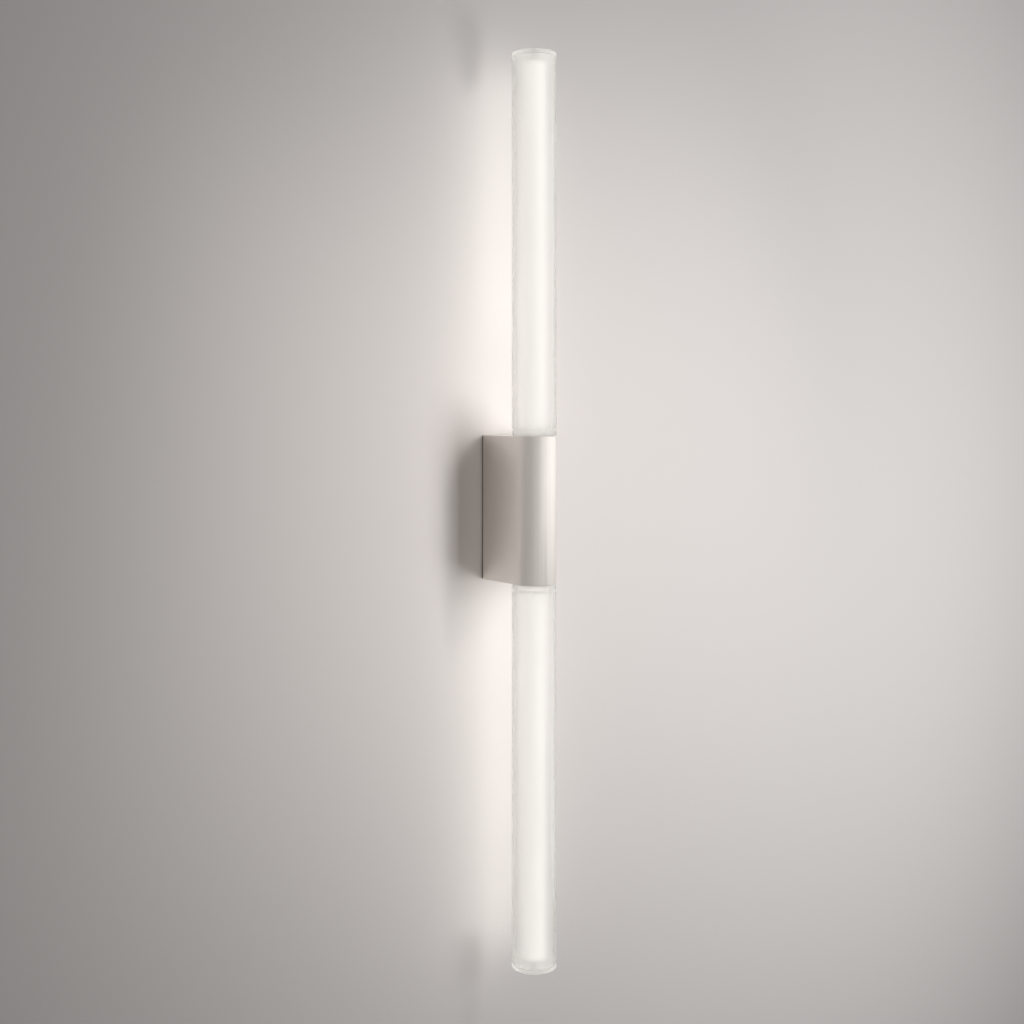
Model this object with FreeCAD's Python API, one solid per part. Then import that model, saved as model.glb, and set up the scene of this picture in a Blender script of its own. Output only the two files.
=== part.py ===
"""A slim wall light: two upright glass tubes, one above and one below a narrow metal bracket.

The light stands out from the wall. X runs to the right as seen from the room, Y runs into the wall and
Z runs up. The origin is on the wall, at the middle of the wall plate's two screw slots, so everything
but the wall itself has a negative Y. Functions take a depth, which is a distance out from the wall.

A steel wall plate is screwed to the wall. The bracket pushes onto it and two locking screws hold it:
an extruded aluminium cover with a half-round front, closed above and below by end plates that are
screwed into ports in the extrusion. A square aluminium spine runs through both end plates and carries
the light strips. Each strip stack stands in a slim opal diffuser, in the middle of a wide glass tube.
A clear cap and one screw into the end of the spine clamp each glass tube against the bracket.
The driver and the terminal block ride on a steel tray inside the cover.
"""
import FreeCAD, Part
import math
import os

V = FreeCAD.Vector

# Overall sizes, in millimetres
tube_diameter = 42.0
light_length = 855.0
cover_height = 138.0
projection = 75.0

# Cover and the end plates that close it
cover_wall = 2.0
end_plate_thickness = 4.0
end_plate_clearance = 0.15
port_wall = 1.4
port_slot = 1.6
port_inset = 3.6
rear_port_depth = 8.0
screw_head_margin = 1.2
gasket_thickness = 1.5
gasket_inset = 0.5

# Wall plate and what fastens the bracket to it
plate_side_gap = 1.0
plate_thickness = 2.0
plate_bend = 1.0
plate_corner = 3.0
flange_port_gap = 1.5
flange_depth = 16.0
flange_gap = 0.4
slot_spacing = 84.0
slot_width = 4.6
slot_length = 10.0
locking_screw_depth = 10.0
locking_screw_recess = 0.3
locking_tip_gap = 0.05

# Cable entry, a dish pressed into the wall plate that holds a rubber grommet
dish_radius = 12.0
dish_height = 2.0
entry_hole_radius = 7.0
grommet_lip = 1.6
grommet_overhang = 1.8
grommet_clearance = 0.05
cable_radius = 4.0

# Glass tubes, with a socket in the foot of each and a clear cap on its far end
tube_wall = 2.0
tube_seal = 0.5
seal_inset = 0.3
socket_height = 8.0
socket_base = 4.0
socket_clearance = 0.25
socket_seal_width = 2.0
socket_seal_depth = 1.4
cap_thickness = 3.2
cap_plug_length = 4.5
cap_plug_clearance = 0.2
cap_chamfer = 0.4

# Light core: the spine, its light strips, and the opal diffuser round them
spine_side = 10.8
spine_fit = 0.2
strip_channel = 0.4
strip_width = 8.0
strip_board = 0.4
strip_clearance = 0.2
phosphor_width = 3.2
phosphor_height = 0.9
solder_pad = 6.0
strip_end_gap = 2.0
diffuser_diameter = 20.0
diffuser_wall = 1.0
diffuser_fit = 0.15
core_plug_flange = 1.5
core_plug_body = 8.0
core_plug_pocket = 4.0
core_plug_recess = 0.5

# Tray inside the cover, with the driver and the terminal block on it
tray_thickness = 1.2
tray_port_gap = 0.5
tray_flange_gap = 1.0
tray_window_height = 8.0
tray_window_margin = 7.0
driver_side_gap = 2.0
driver_port_gap = 2.7
driver_below_window = 6.0
driver_corner = 2.0
driver_screw_gap = 0.2
driver_ear_width = 8.0
driver_ear_thickness = 2.0
driver_step = 6.0
driver_step_depth = 8.0
terminal_pitch = 8.0
terminal_width = 26.0
terminal_depth = 15.0
terminal_height = 18.0
terminal_above_plate = 15.0
terminal_lead_run = 16.0
terminal_groove = 1.6
terminal_groove_depth = 5.0

# Wires
mains_lead_radius = 1.1
light_lead_radius = 0.7
lead_hole_clearance = 0.4
lead_bend = 5.0
light_lead_depth = 8.0
lead_pair_gap = 0.1

# Screws, all drawn without threads
m2_radius = 1.0
m3_radius = 1.5
m4_radius = 2.0
thread_clearance = 0.05
seat_clearance = 0.02
countersunk_head = 1.3
countersunk_head_m4 = 2.0
pan_head = 1.3
pan_head_height = 1.8
screw_point = 0.4
key_ratio = 0.62
key_depth = 1.1

# Places that follow from the sizes above
tube_radius = tube_diameter / 2
tube_bore = tube_radius - tube_wall
axis_depth = projection - tube_radius
cover_inside = tube_radius - cover_wall
cover_top = cover_height / 2
plate_inner = cover_top - end_plate_thickness
cap_top = light_length / 2
cap_seat = cap_top - cap_thickness
tube_foot = cover_top + tube_seal
tube_end = cap_seat - tube_seal
diffuser_radius = diffuser_diameter / 2
diffuser_foot = cover_top + socket_base
diffuser_end = cap_seat - cap_plug_length + core_plug_recess - core_plug_flange
core_plug_foot = diffuser_end - core_plug_body
spine_end = core_plug_foot + core_plug_pocket - spine_fit
strip_seat = spine_side / 2 - strip_channel
strip_foot = diffuser_foot + strip_end_gap
strip_end = core_plug_foot - strip_end_gap
socket_screw_ring = (diffuser_radius + tube_bore - socket_clearance - socket_seal_depth) / 2

m3_hole = m3_radius + thread_clearance
m4_hole = m4_radius + thread_clearance
m3_head_radius = m3_radius + countersunk_head
m3_pan_radius = m3_radius + pan_head
port_x = cover_inside - port_inset
front_port_depth = (axis_depth - math.sqrt(tube_radius ** 2 - port_x ** 2)
                    - m3_head_radius - screw_head_margin)
port_radius = m3_hole + port_wall
between_ports = port_x - port_radius
plate_width = 2 * (cover_inside - plate_side_gap)
flange_width = 2 * (between_ports - flange_port_gap)
tray_width = 2 * (between_ports - tray_port_gap)
tray_depth = front_port_depth - port_radius - tray_port_gap
tray_front = tray_depth + tray_thickness
tray_flange = axis_depth - socket_screw_ring / 2 - m3_pan_radius - tray_flange_gap - tray_front
window_top = plate_inner - tray_window_margin
window_foot = window_top - tray_window_height
terminal_foot = -plate_inner + terminal_above_plate
terminal_top = terminal_foot + terminal_height
driver_top = window_foot - driver_below_window
driver_foot = terminal_top + terminal_lead_run
driver_width = 2 * (cover_inside - driver_side_gap)
driver_depth = tray_depth - rear_port_depth - port_radius - driver_port_gap
driver_ear = 2 * (m3_pan_radius + driver_screw_gap)
phosphor_face = strip_seat + strip_board + phosphor_height
lead_offset = (phosphor_face + diffuser_radius - diffuser_wall) / 2
lower_lead_start = spine_side / 2
upper_lead_start = lower_lead_start + 2 * light_lead_radius + lead_pair_gap
tray_window_width = tray_width / 2 + upper_lead_start + light_lead_radius
flange_face = plate_inner - flange_gap


def at(x, depth, z):
    """The point at a distance right of centre, a distance out from the wall, and a height."""
    return V(x, -depth, z)


def block(x0, x1, depth0, depth1, z0, z1):
    """A box between two sides, two depths and two heights."""
    return Part.makeBox(x1 - x0, depth1 - depth0, z1 - z0, at(x0, depth1, z0))


def upright(radius, z0, z1, x=0.0, depth=axis_depth):
    """A round bar with an upright axis, on the tubes' axis unless told otherwise."""
    return Part.makeCylinder(radius, z1 - z0, at(x, depth, z0))


def outward(radius, depth0, depth1, x=0.0, z=0.0):
    """A round bar that points straight out from the wall."""
    return Part.makeCylinder(radius, depth1 - depth0, at(x, depth0, z), V(0, -1, 0))


def square_bar(side, z0, z1):
    """An upright square bar on the tubes' axis."""
    half = side / 2
    return block(-half, half, axis_depth - half, axis_depth + half, z0, z1)


def ring(outer, inner, z0, z1):
    """A ring on the tubes' axis."""
    return upright(outer, z0, z1).cut(upright(inner, z0, z1))


def round_front_bar(half_width, rear_depth, z0, z1):
    """A bar with straight sides and a half-round front that is centred on the tubes' axis."""
    rear_left = at(-half_width, rear_depth, z0)
    front_left = at(-half_width, axis_depth, z0)
    nose = at(0, axis_depth + half_width, z0)
    front_right = at(half_width, axis_depth, z0)
    rear_right = at(half_width, rear_depth, z0)
    outline = Part.Wire([
        Part.makeLine(rear_left, front_left),
        Part.Arc(front_left, nose, front_right).toShape(),
        Part.makeLine(front_right, rear_right),
        Part.makeLine(rear_right, rear_left),
    ])
    return Part.Face(outline).extrude(V(0, 0, z1 - z0))


def mirrored(shape):
    """The same piece at the lower end of the light."""
    return shape.mirror(V(0, 0, 0), V(0, 0, 1))


def both_ends(shapes):
    """The pieces given and their mirror images, as one group of separate solids."""
    return Part.makeCompound(list(shapes) + [mirrored(shape) for shape in shapes])


def turned(points):
    """A solid turned about the Z axis from the half outline given as (radius, height) pairs."""
    outline = Part.makePolygon([V(r, 0, z) for r, z in points + points[:1]])
    return Part.Face(outline).revolve(V(0, 0, 0), V(0, 0, 1), 360)


def key_socket(radius, top):
    """The hexagonal socket for a key in the head of a screw."""
    corner = radius * key_ratio
    corners = [V(corner * math.cos(math.radians(60 * i)), corner * math.sin(math.radians(60 * i)), top)
               for i in range(7)]
    return Part.Face(Part.makePolygon(corners)).extrude(V(0, 0, -key_depth))


def countersunk_screw(radius, length, head):
    """A countersunk screw whose head lies flush at the origin and whose point is down the Z axis."""
    body = turned([(0, 0), (radius + head, 0), (radius, -head), (radius, screw_point - length),
                   (radius - screw_point, -length), (0, -length)])
    return body.cut(key_socket(radius, 0))


def pan_screw(radius, length):
    """A pan-head screw that seats at the origin, with its point down the Z axis."""
    head = radius + pan_head
    body = turned([(0, pan_head_height), (head - screw_point, pan_head_height),
                   (head, pan_head_height - screw_point), (head, 0), (radius, 0),
                   (radius, screw_point - length), (radius - screw_point, -length), (0, -length)])
    return body.cut(key_socket(radius, pan_head_height))


def set_screw(radius, length):
    """A headless screw with its socket at the origin and its flat point down the Z axis."""
    body = turned([(0, 0), (radius, 0), (radius, 2 * screw_point - length),
                   (radius - 2 * screw_point, -length), (0, -length)])
    return body.cut(key_socket(radius, 0))


def placed(shape, point, direction):
    """The piece with its origin at the point and its Z axis along the direction."""
    copy = shape.copy()
    copy.Placement = FreeCAD.Placement(point, FreeCAD.Rotation(V(0, 0, 1), direction))
    return copy


def lead(points, radius):
    """A wire along straight runs that are joined by arcs, each as large as its runs leave room for."""
    edges = []
    start = points[0]
    for before, corner, after in zip(points, points[1:], points[2:]):
        arriving = (corner - before).normalize()
        leaving = (after - corner).normalize()
        half_turn = arriving.getAngle(leaving) / 2
        shorter = min((corner - before).Length, (after - corner).Length)
        bend = min(lead_bend, 0.45 * shorter / math.tan(half_turn))
        setback = bend * math.tan(half_turn)
        inward = (leaving - arriving).normalize()
        middle = corner + inward * (bend / math.cos(half_turn) - bend)
        arc_start = corner - arriving * setback
        arc_end = corner + leaving * setback
        edges.append(Part.makeLine(start, arc_start))
        edges.append(Part.Arc(arc_start, middle, arc_end).toShape())
        start = arc_end
    edges.append(Part.makeLine(start, points[-1]))
    section = Part.Wire(Part.makeCircle(radius, points[0], points[1] - points[0]))
    return Part.Wire(edges).makePipeShell([section], True, False)


# Wall plate

def make_wall_plate():
    """Pressed steel: a flat plate with a flange bent out above and below, two slots and a cable dish."""
    outer_bend = plate_bend + plate_thickness
    edge = flange_face - outer_bend
    half = plate_width / 2
    plate = block(-half, half, 0, plate_thickness, -edge, edge)
    plate = plate.makeFillet(plate_corner, [e for e in plate.Edges if is_along_y(e)])
    flange = bent_flange(edge, outer_bend)
    plate = plate.fuse([flange, mirrored(flange), outward(dish_radius, 0, plate_thickness + dish_height)])
    plate = plate.cut(outward(dish_radius - plate_thickness, 0, dish_height))
    plate = plate.cut(outward(entry_hole_radius, 0, plate_thickness + dish_height))
    for z in (-slot_spacing / 2, slot_spacing / 2):
        plate = plate.cut(upright_slot(z))
    return plate.removeSplitter()


def is_along_y(edge):
    """Whether a straight edge runs out from the wall."""
    run = edge.Vertexes[-1].Point - edge.Vertexes[0].Point
    return abs(run.x) < 1e-6 and abs(run.z) < 1e-6


def bent_flange(edge, outer_bend):
    """The upper flange: a strip that leaves the plate upwards and bends out from the wall."""
    inner_face = flange_face - plate_thickness
    slant = math.sqrt(0.5)
    outer_middle = at(0, outer_bend * (1 - slant), edge + outer_bend * slant)
    inner_middle = at(0, outer_bend - plate_bend * slant, edge + plate_bend * slant)
    outline = Part.Wire([
        Part.makeLine(at(0, 0, edge - outer_bend), at(0, 0, edge)),
        Part.Arc(at(0, 0, edge), outer_middle, at(0, outer_bend, flange_face)).toShape(),
        Part.makeLine(at(0, outer_bend, flange_face), at(0, flange_depth, flange_face)),
        Part.makeLine(at(0, flange_depth, flange_face), at(0, flange_depth, inner_face)),
        Part.makeLine(at(0, flange_depth, inner_face), at(0, outer_bend, inner_face)),
        Part.Arc(at(0, outer_bend, inner_face), inner_middle, at(0, plate_thickness, edge)).toShape(),
        Part.makeLine(at(0, plate_thickness, edge), at(0, plate_thickness, edge - outer_bend)),
        Part.makeLine(at(0, plate_thickness, edge - outer_bend), at(0, 0, edge - outer_bend)),
    ])
    strip = Part.Face(outline).extrude(V(flange_width, 0, 0))
    strip.translate(V(-flange_width / 2, 0, 0))
    return strip


def upright_slot(z):
    """The cutter for an upright screw slot that is centred at the height given."""
    half_width = slot_width / 2
    half_run = slot_length / 2 - half_width
    ends = [outward(half_width, 0, plate_thickness, 0, z + side * half_run) for side in (-1, 1)]
    middle = block(-half_width, half_width, 0, plate_thickness, z - half_run, z + half_run)
    return middle.fuse(ends)


def make_cable_grommet():
    """A rubber grommet with a lip on each side of the dish's floor, and a hole for the mains cable."""
    lip_radius = entry_hole_radius + grommet_overhang
    rear = dish_height - grommet_lip
    front = dish_height + plate_thickness + grommet_lip
    neck = outward(entry_hole_radius - grommet_clearance, rear, front)
    rear_lip = outward(lip_radius, rear, dish_height)
    front_lip = outward(lip_radius, dish_height + plate_thickness, front)
    return neck.fuse([rear_lip, front_lip]).cut(outward(cable_radius, rear, front)).removeSplitter()


def make_locking_screws():
    """Two socket set screws, one through each end plate, that bear on the wall plate's flanges."""
    top = cover_top - locking_screw_recess
    screw = set_screw(m4_radius, top - flange_face - locking_tip_gap)
    return both_ends([placed(screw, at(0, locking_screw_depth, top), V(0, 0, 1))])


# Cover

def port_places():
    """Where the four screw ports stand, as (x, depth) pairs."""
    return [(side * port_x, depth) for depth in (rear_port_depth, front_port_depth) for side in (-1, 1)]


def screw_port(x, depth):
    """A round port joined to the cover's side by a web, with a slot along it that faces inwards."""
    side = 1 if x > 0 else -1
    web_end = side * (cover_inside + cover_wall / 2)
    web = block(min(x, web_end), max(x, web_end), depth - port_wall, depth + port_wall,
                -plate_inner, plate_inner)
    slot_end = x - side * 2 * port_radius
    slot = block(min(x, slot_end), max(x, slot_end), depth - port_slot / 2, depth + port_slot / 2,
                 -plate_inner, plate_inner)
    tube = upright(port_radius, -plate_inner, plate_inner, x, depth).fuse(web)
    return tube.cut([upright(m3_hole, -plate_inner, plate_inner, x, depth), slot])


def make_cover():
    """The extruded aluminium cover. Its ports stop short of its ends, where the end plates lie."""
    outside = round_front_bar(tube_radius, gasket_thickness, -cover_top, cover_top)
    inside = round_front_bar(cover_inside, 0, -cover_top, cover_top)
    shell = outside.cut(inside)
    return shell.fuse([screw_port(x, depth) for x, depth in port_places()]).removeSplitter()


def make_wall_gasket():
    """A foam gasket round the rear edge of the cover and the end plates."""
    outer = tube_radius - gasket_inset
    inner = cover_inside + end_plate_clearance
    outer_z = cover_top - gasket_inset
    frame = block(-outer, outer, 0, gasket_thickness, -outer_z, outer_z)
    return frame.cut(block(-inner, inner, 0, gasket_thickness, -plate_inner, plate_inner))


def socket_screw_places():
    """Where the three screws of a tube socket stand, as (x, depth) pairs."""
    angles = [math.radians(angle) for angle in (90, 210, 330)]
    return [(socket_screw_ring * math.cos(a), axis_depth + socket_screw_ring * math.sin(a)) for a in angles]


def tray_screw_depth():
    """How far out from the wall the tray's flange screws stand."""
    return tray_front + tray_flange / 2


def make_end_plate():
    """The upper end plate, with all its holes, flush with the end of the cover."""
    plate = round_front_bar(cover_inside - end_plate_clearance, gasket_thickness, plate_inner, cover_top)
    cuts = [square_bar(spine_side + 2 * spine_fit, plate_inner, cover_top)]
    sink = countersunk_head + seat_clearance
    for x, depth in port_places():
        hole = turned([(0, 0), (m3_radius + sink, 0), (m3_hole, thread_clearance - sink),
                       (m3_hole, -end_plate_thickness), (0, -end_plate_thickness)])
        cuts.append(placed(hole, at(x, depth, cover_top), V(0, 0, 1)))
    for x, depth in socket_screw_places():
        cuts.append(upright(m3_hole, plate_inner, cover_top, x, depth))
    for side in (-1, 1):
        cuts.append(lead_hole(side, plate_inner, cover_top))
    cuts.append(upright(m4_hole, plate_inner, cover_top, 0, locking_screw_depth))
    cuts.append(upright(m3_hole, plate_inner, plate_inner + end_plate_thickness * 0.75,
                        0, tray_screw_depth()))
    return plate.cut(cuts)


def lead_hole(side, z0, z1):
    """The cutter for the hole that a pair of light leads passes through, beside the spine."""
    return upright(light_lead_radius + lead_hole_clearance, z0, z1, side * lead_offset)


def make_end_plate_screws():
    """Eight countersunk screws that hold the end plates to the cover's ports."""
    screw = countersunk_screw(m3_radius, end_plate_thickness * 2.5, countersunk_head)
    return both_ends([placed(screw, at(x, depth, cover_top), V(0, 0, 1)) for x, depth in port_places()])


# Glass tubes

def make_tube():
    """The upper glass tube, open at both ends."""
    return ring(tube_radius, tube_bore, tube_foot, tube_end)


def make_tube_seals():
    """Four thin silicone rings, one under and one over each glass tube."""
    outer = tube_radius - seal_inset
    inner = tube_bore + seal_inset
    return both_ends([ring(outer, inner, cover_top, tube_foot), ring(outer, inner, tube_end, cap_seat)])


def socket_seal_heights():
    """The foot and the top of the seal round a tube socket."""
    middle = cover_top + (socket_base + socket_height) / 2
    return middle - socket_seal_width / 2, middle + socket_seal_width / 2


def make_tube_socket():
    """The upper socket, which centres the foot of the glass tube and holds the diffuser and the spine."""
    radius = tube_bore - socket_clearance
    top = cover_top + socket_height
    seal_foot, seal_top = socket_seal_heights()
    body = upright(radius, cover_top, top)
    body = body.cut(ring(radius, radius - socket_seal_depth, seal_foot - seat_clearance,
                         seal_top + seat_clearance))
    cuts = [
        square_bar(spine_side + 2 * spine_fit, cover_top, diffuser_foot),
        upright(diffuser_radius + diffuser_fit, diffuser_foot, top),
        clamp_bar(m3_hole, spine_side / 2, tube_bore),
    ]
    cuts += [upright(m3_hole, cover_top, diffuser_foot, x, depth) for x, depth in socket_screw_places()]
    cuts += [lead_hole(side, cover_top, diffuser_foot) for side in (-1, 1)]
    return body.cut(cuts)


def clamp_bar(radius, inner, outer):
    """A round bar between two distances behind the tubes' axis, halfway up a socket's base."""
    return outward(radius, axis_depth - outer, axis_depth - inner, 0, cover_top + socket_base / 2)


def make_spine_screws():
    """Two set screws that clamp the spine in its sockets, from the side that faces the wall."""
    inner = strip_seat + seat_clearance
    outer = tube_bore - socket_clearance - locking_screw_recess
    start = at(0, axis_depth - outer, cover_top + socket_base / 2)
    return both_ends([placed(set_screw(m3_radius, outer - inner), start, V(0, 1, 0))])


def make_socket_seals():
    """A square silicone ring round each tube socket, which grips the bore of the glass."""
    radius = tube_bore - socket_clearance - socket_seal_depth
    return both_ends([ring(tube_bore - seat_clearance, radius + seat_clearance, *socket_seal_heights())])


def make_socket_screws():
    """Six pan-head screws that hold the tube sockets to the end plates from inside the cover."""
    screw = pan_screw(m3_radius, end_plate_thickness + socket_base - screw_point)
    return both_ends([placed(screw, at(x, depth, plate_inner), V(0, 0, -1))
                      for x, depth in socket_screw_places()])


def make_end_cap():
    """The clear upper cap, with a plug that fits the glass and a recess that centres the diffuser."""
    plug_foot = cap_seat - cap_plug_length
    sink = countersunk_head_m4 + seat_clearance
    half_outline = [
        (m4_hole, cap_top - sink),
        (m4_radius + sink, cap_top),
        (tube_radius - cap_chamfer, cap_top),
        (tube_radius, cap_top - cap_chamfer),
        (tube_radius, cap_seat),
        (tube_bore - cap_plug_clearance, cap_seat),
        (tube_bore - cap_plug_clearance, plug_foot),
        (diffuser_radius + diffuser_fit, plug_foot),
        (diffuser_radius + diffuser_fit, plug_foot + core_plug_recess),
        (m4_hole, plug_foot + core_plug_recess),
    ]
    return placed(turned(half_outline), at(0, axis_depth, 0), V(0, 0, 1))


def make_end_cap_screws():
    """Two countersunk screws that pull the end caps towards the spine."""
    screw = countersunk_screw(m4_radius, cap_top - spine_end + core_plug_body, countersunk_head_m4)
    return both_ends([placed(screw, at(0, axis_depth, cap_top), V(0, 0, 1))])


# Light core

def make_led_spine():
    """The square extrusion with a shallow channel in each side and a threaded core."""
    spine = square_bar(spine_side, -spine_end, spine_end)
    half_channel = strip_width / 2 + strip_clearance
    channel = block(-half_channel, half_channel, axis_depth - spine_side, axis_depth - strip_seat,
                    -spine_end, spine_end)
    spine = spine.cut([quarter_turned(channel, turn) for turn in range(4)])
    return spine.cut(upright(m4_hole, -spine_end, spine_end))


def quarter_turned(shape, turns):
    """The piece turned about the tubes' axis by a number of quarter turns."""
    copy = shape.copy()
    copy.rotate(at(0, axis_depth, 0), V(0, 0, 1), 90 * turns)
    return copy


def make_led_strips():
    """Four light strips on the upper half of the spine: a board and a line of phosphor on it."""
    back = axis_depth - strip_seat
    half = strip_width / 2
    board = block(-half, half, back - strip_board, back, strip_foot, strip_end)
    face = back - strip_board
    left = at(-phosphor_width / 2, face, strip_foot + solder_pad)
    crown = at(0, face - phosphor_height, strip_foot + solder_pad)
    right = at(phosphor_width / 2, face, strip_foot + solder_pad)
    section = Part.Wire([Part.Arc(left, crown, right).toShape(), Part.makeLine(right, left)])
    phosphor = Part.Face(section).extrude(V(0, 0, strip_end - strip_foot - solder_pad))
    strip = board.fuse(phosphor)
    return Part.makeCompound([quarter_turned(strip, turn) for turn in range(4)])


def make_diffuser():
    """The opal tube round the upper light strips."""
    return ring(diffuser_radius, diffuser_radius - diffuser_wall, diffuser_foot, diffuser_end)


def make_core_plug():
    """The plug in the far end of the upper diffuser, with a square pocket for the end of the spine."""
    body_radius = diffuser_radius - diffuser_wall - diffuser_fit
    top = diffuser_end + core_plug_flange
    plug = upright(body_radius, core_plug_foot, top).fuse(upright(diffuser_radius, diffuser_end, top))
    pocket = square_bar(spine_side + 2 * spine_fit, core_plug_foot, core_plug_foot + core_plug_pocket)
    return plug.cut([pocket, upright(m4_hole, core_plug_foot, top)]).removeSplitter()


# Tray, driver and terminal block

def make_gear_tray():
    """A steel strip between the end plates, bent forward at each end, with a window for the light leads."""
    half = tray_width / 2
    rear = tray_depth
    front = tray_front
    web = block(-half, half, rear, front, -plate_inner, plate_inner)
    flange = block(-half, half, rear, front + tray_flange, plate_inner - tray_thickness, plate_inner)
    window = block(-tray_window_width / 2, tray_window_width / 2, rear, front, window_foot, window_top)
    flange_hole = upright(m3_hole, plate_inner - tray_thickness, plate_inner, 0, tray_screw_depth())
    holes = [outward(m3_hole, rear, front, 0, z) for z in driver_screw_heights() + [earth_screw_height()]]
    holes += [outward(m2_radius + thread_clearance, rear, front, x, z)
              for x, z in terminal_screw_places()]
    tray = web.fuse([flange, mirrored(flange)])
    return tray.cut([window, flange_hole, mirrored(flange_hole)] + holes).removeSplitter()


def make_tray_screws():
    """Two pan-head screws that hold the tray's flanges to the end plates."""
    screw = pan_screw(m3_radius, tray_thickness + end_plate_thickness / 2)
    start = at(0, tray_screw_depth(), plate_inner - tray_thickness)
    return both_ends([placed(screw, start, V(0, 0, -1))])


def driver_screw_heights():
    """The heights of the two screws through the driver's ears."""
    return [driver_foot - driver_ear / 2, driver_top + driver_ear / 2]


def make_driver():
    """The driver's case: a rounded box with a lower step at each end for its terminals, and two ears."""
    half = driver_width / 2
    rear = tray_depth - driver_depth
    case = block(-half, half, rear, tray_depth, driver_foot, driver_top)
    upright_edges = [e for e in case.Edges if abs(e.tangentAt(e.FirstParameter).z) > 0.5]
    case = case.makeFillet(driver_corner, upright_edges)
    ear = block(-driver_ear_width / 2, driver_ear_width / 2, tray_depth - driver_ear_thickness, tray_depth,
                driver_foot - driver_ear, driver_top + driver_ear)
    case = case.fuse(ear)
    for z0, z1 in ((driver_foot, driver_foot + driver_step), (driver_top - driver_step, driver_top)):
        case = case.cut(block(-half, half, rear, rear + driver_step_depth, z0, z1))
    holes = [outward(m3_hole, tray_depth - driver_ear_thickness, tray_depth, 0, z)
             for z in driver_screw_heights()]
    return case.cut(holes).removeSplitter()


def make_driver_screws():
    """Two pan-head screws through the driver's ears into the tray."""
    screw = pan_screw(m3_radius, driver_ear_thickness + tray_thickness + screw_point)
    seat = tray_depth - driver_ear_thickness
    return Part.makeCompound([placed(screw, at(0, seat, z), V(0, 1, 0)) for z in driver_screw_heights()])


def pole_places():
    """The x places of the live, neutral and earth poles."""
    return [-terminal_pitch, 0, terminal_pitch]


def pole_depth():
    """How far out from the wall the poles' wires run."""
    return tray_depth - terminal_depth / 2


def terminal_screw_places():
    """Where the two screws that hold the terminal block stand, as (x, z) pairs."""
    middle = (terminal_foot + terminal_top) / 2
    return [(side * terminal_pitch / 2, middle) for side in (-1, 1)]


def clamp_screw_heights():
    """The heights of the two clamping screws of each pole."""
    return [terminal_foot + terminal_height / 4, terminal_top - terminal_height / 4]


def make_terminal_block():
    """A moulded block of three poles, each with a wire hole through it and two wells for its screws."""
    half = terminal_width / 2
    rear = tray_depth - terminal_depth
    body = block(-half, half, rear, tray_depth, terminal_foot, terminal_top)
    cuts = []
    for x in pole_places():
        cuts.append(upright(mains_lead_radius + lead_hole_clearance, terminal_foot, terminal_top,
                            x, pole_depth()))
        cuts += [outward(m3_hole, rear, pole_depth(), x, z) for z in clamp_screw_heights()]
    for x, z in terminal_screw_places():
        groove = terminal_groove / 2
        cuts.append(block(x - groove, x + groove, rear, rear + terminal_groove_depth,
                          terminal_foot, terminal_top))
        cuts.append(outward(m2_radius + thread_clearance, rear, tray_depth, x, z))
        cuts.append(outward(m2_radius + pan_head + lead_hole_clearance, rear, rear + terminal_depth / 2,
                            x, z))
    return body.cut(cuts).removeSplitter()


def make_terminal_screws():
    """Six clamping screws in the poles and two thin screws that hold the block to the tray."""
    seat = tray_depth - terminal_depth / 2
    fixing = pan_screw(m2_radius, terminal_depth / 2 + tray_thickness + screw_point)
    screws = [placed(fixing, at(x, seat, z), V(0, 1, 0)) for x, z in terminal_screw_places()]
    top = tray_depth - terminal_depth + locking_screw_recess
    tip = pole_depth() - mains_lead_radius - seat_clearance
    clamp = set_screw(m3_radius, tip - top)
    for x in pole_places():
        screws += [placed(clamp, at(x, top, z), V(0, 1, 0)) for z in clamp_screw_heights()]
    return Part.makeCompound(screws)


# Wires

def earth_screw_height():
    """The height of the earth screw, in the tray below the terminal block."""
    return (terminal_foot - plate_inner) / 2


def make_mains_lead(x):
    """One of the two leads from the terminal block up to the driver."""
    inside = terminal_top - terminal_height / 2 + m3_radius
    return lead([at(x, pole_depth(), inside), at(x, pole_depth(), driver_foot)], mains_lead_radius)


def make_earth_lead():
    """The earth lead: out of the block's last pole, round its side and down to the earth screw."""
    x = pole_places()[-1]
    clear = terminal_top + (driver_foot - terminal_top) / 2
    side = (terminal_width / 2 + cover_inside) / 2
    z = earth_screw_height()
    seat = tray_depth - tag_thickness() - mains_lead_radius
    return lead([at(x, pole_depth(), terminal_top - terminal_height / 2 + m3_radius),
                 at(x, pole_depth(), clear), at(side, pole_depth(), clear), at(side, pole_depth(), z),
                 at(side, seat, z), at(tag_radius(), seat, z)], mains_lead_radius)


def tag_radius():
    """The radius of the ring tag under the earth screw."""
    return m3_radius + pan_head + 1.0


def tag_thickness():
    """The thickness of the ring tag, which lies flat on the tray."""
    return 0.8


def make_earth_tag():
    """A tinned ring tag that joins the earth lead to the tray."""
    z = earth_screw_height()
    rear = tray_depth - tag_thickness()
    return outward(tag_radius(), rear, tray_depth, 0, z).cut(outward(m3_hole, rear, tray_depth, 0, z))


def make_earth_screw():
    """The pan-head screw through the ring tag into the tray."""
    screw = pan_screw(m3_radius, tag_thickness() + tray_thickness + screw_point)
    return placed(screw, at(0, tray_depth - tag_thickness(), earth_screw_height()), V(0, 1, 0))


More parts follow.
